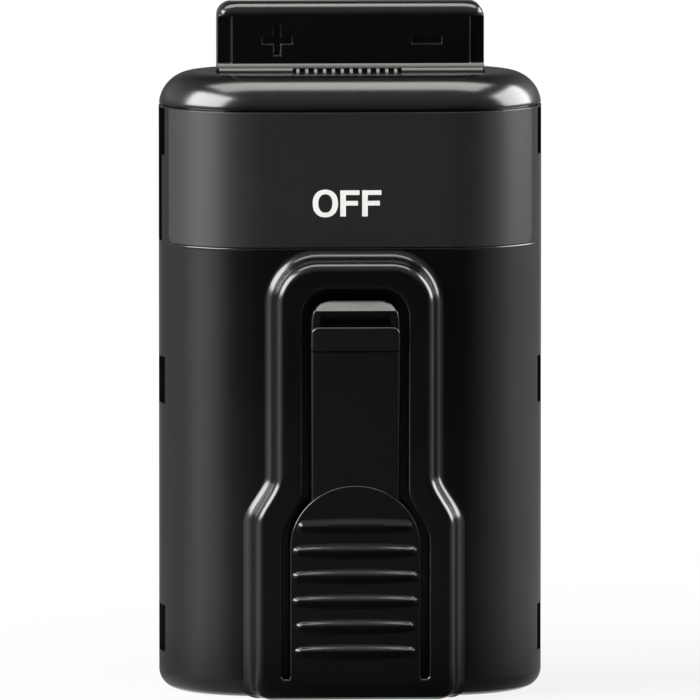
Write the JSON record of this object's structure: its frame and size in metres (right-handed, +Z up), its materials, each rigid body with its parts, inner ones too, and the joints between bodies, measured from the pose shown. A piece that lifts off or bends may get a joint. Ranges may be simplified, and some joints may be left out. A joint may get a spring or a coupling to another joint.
{
  "type": "power tool battery pack",
  "caption": "Slide-in battery pack for a cordless tool: oval black housing with a terminal head on its cap and a sprung, ribbed latch in a raised surround on the front.",
  "frame": {"origin": "middle of the footprint of the pack, latch surround included, at the base it stands on", "axes": "+Z up along the pack to the terminal head, -Y out of the front where the latch is, +X to the right as seen from the front"},
  "size_m": [0.05, 0.0316, 0.09],
  "materials": {
    "moulded_black": "gloss",
    "printed_label": "satin",
    "nickel_plate": "satin",
    "foam": "matte",
    "cradle_plastic": "matte",
    "cell_can": "satin",
    "shrink_sleeve": "satin",
    "insulating_paper": "matte",
    "lead_jacket": "satin",
    "epoxy_bead": "gloss",
    "circuit_board": "satin",
    "chip_plastic": "matte"
  },
  "bodies": {
    "housing": {"front_shell": "moulded_black", "rear_shell": "moulded_black", "top_cap": "moulded_black", "terminal_block": "moulded_black", "label": "printed_label", "contact_positive": "nickel_plate", "contact_negative": "nickel_plate", "series_strip": "nickel_plate", "positive_strip": "nickel_plate", "negative_strip": "nickel_plate", "foam_pad": "foam", "lower_cradle": "cradle_plastic", "upper_cradle": "cradle_plastic", "cell_left": "cell_can", "cell_right": "cell_can", "sleeve_left": "shrink_sleeve", "sleeve_right": "shrink_sleeve", "washer_left": "insulating_paper", "washer_right": "insulating_paper", "balance_lead": "lead_jacket", "thermistor": "epoxy_bead", "protection_board": "circuit_board", "switch_chips": "chip_plastic", "control_chip": "chip_plastic", "shunt_resistor": "chip_plastic"},
    "latch": {"latch": "moulded_black"}
  },
  "joints": [
    {"name": "latch_press", "type": "hinge", "parent": "housing", "child": "latch", "pos_m": [0, -0.01425, 0.00295], "axis": [-1, 0, 0], "range_deg": [0, 2], "stiffness_Nm_per_rad": 2}
  ]
}
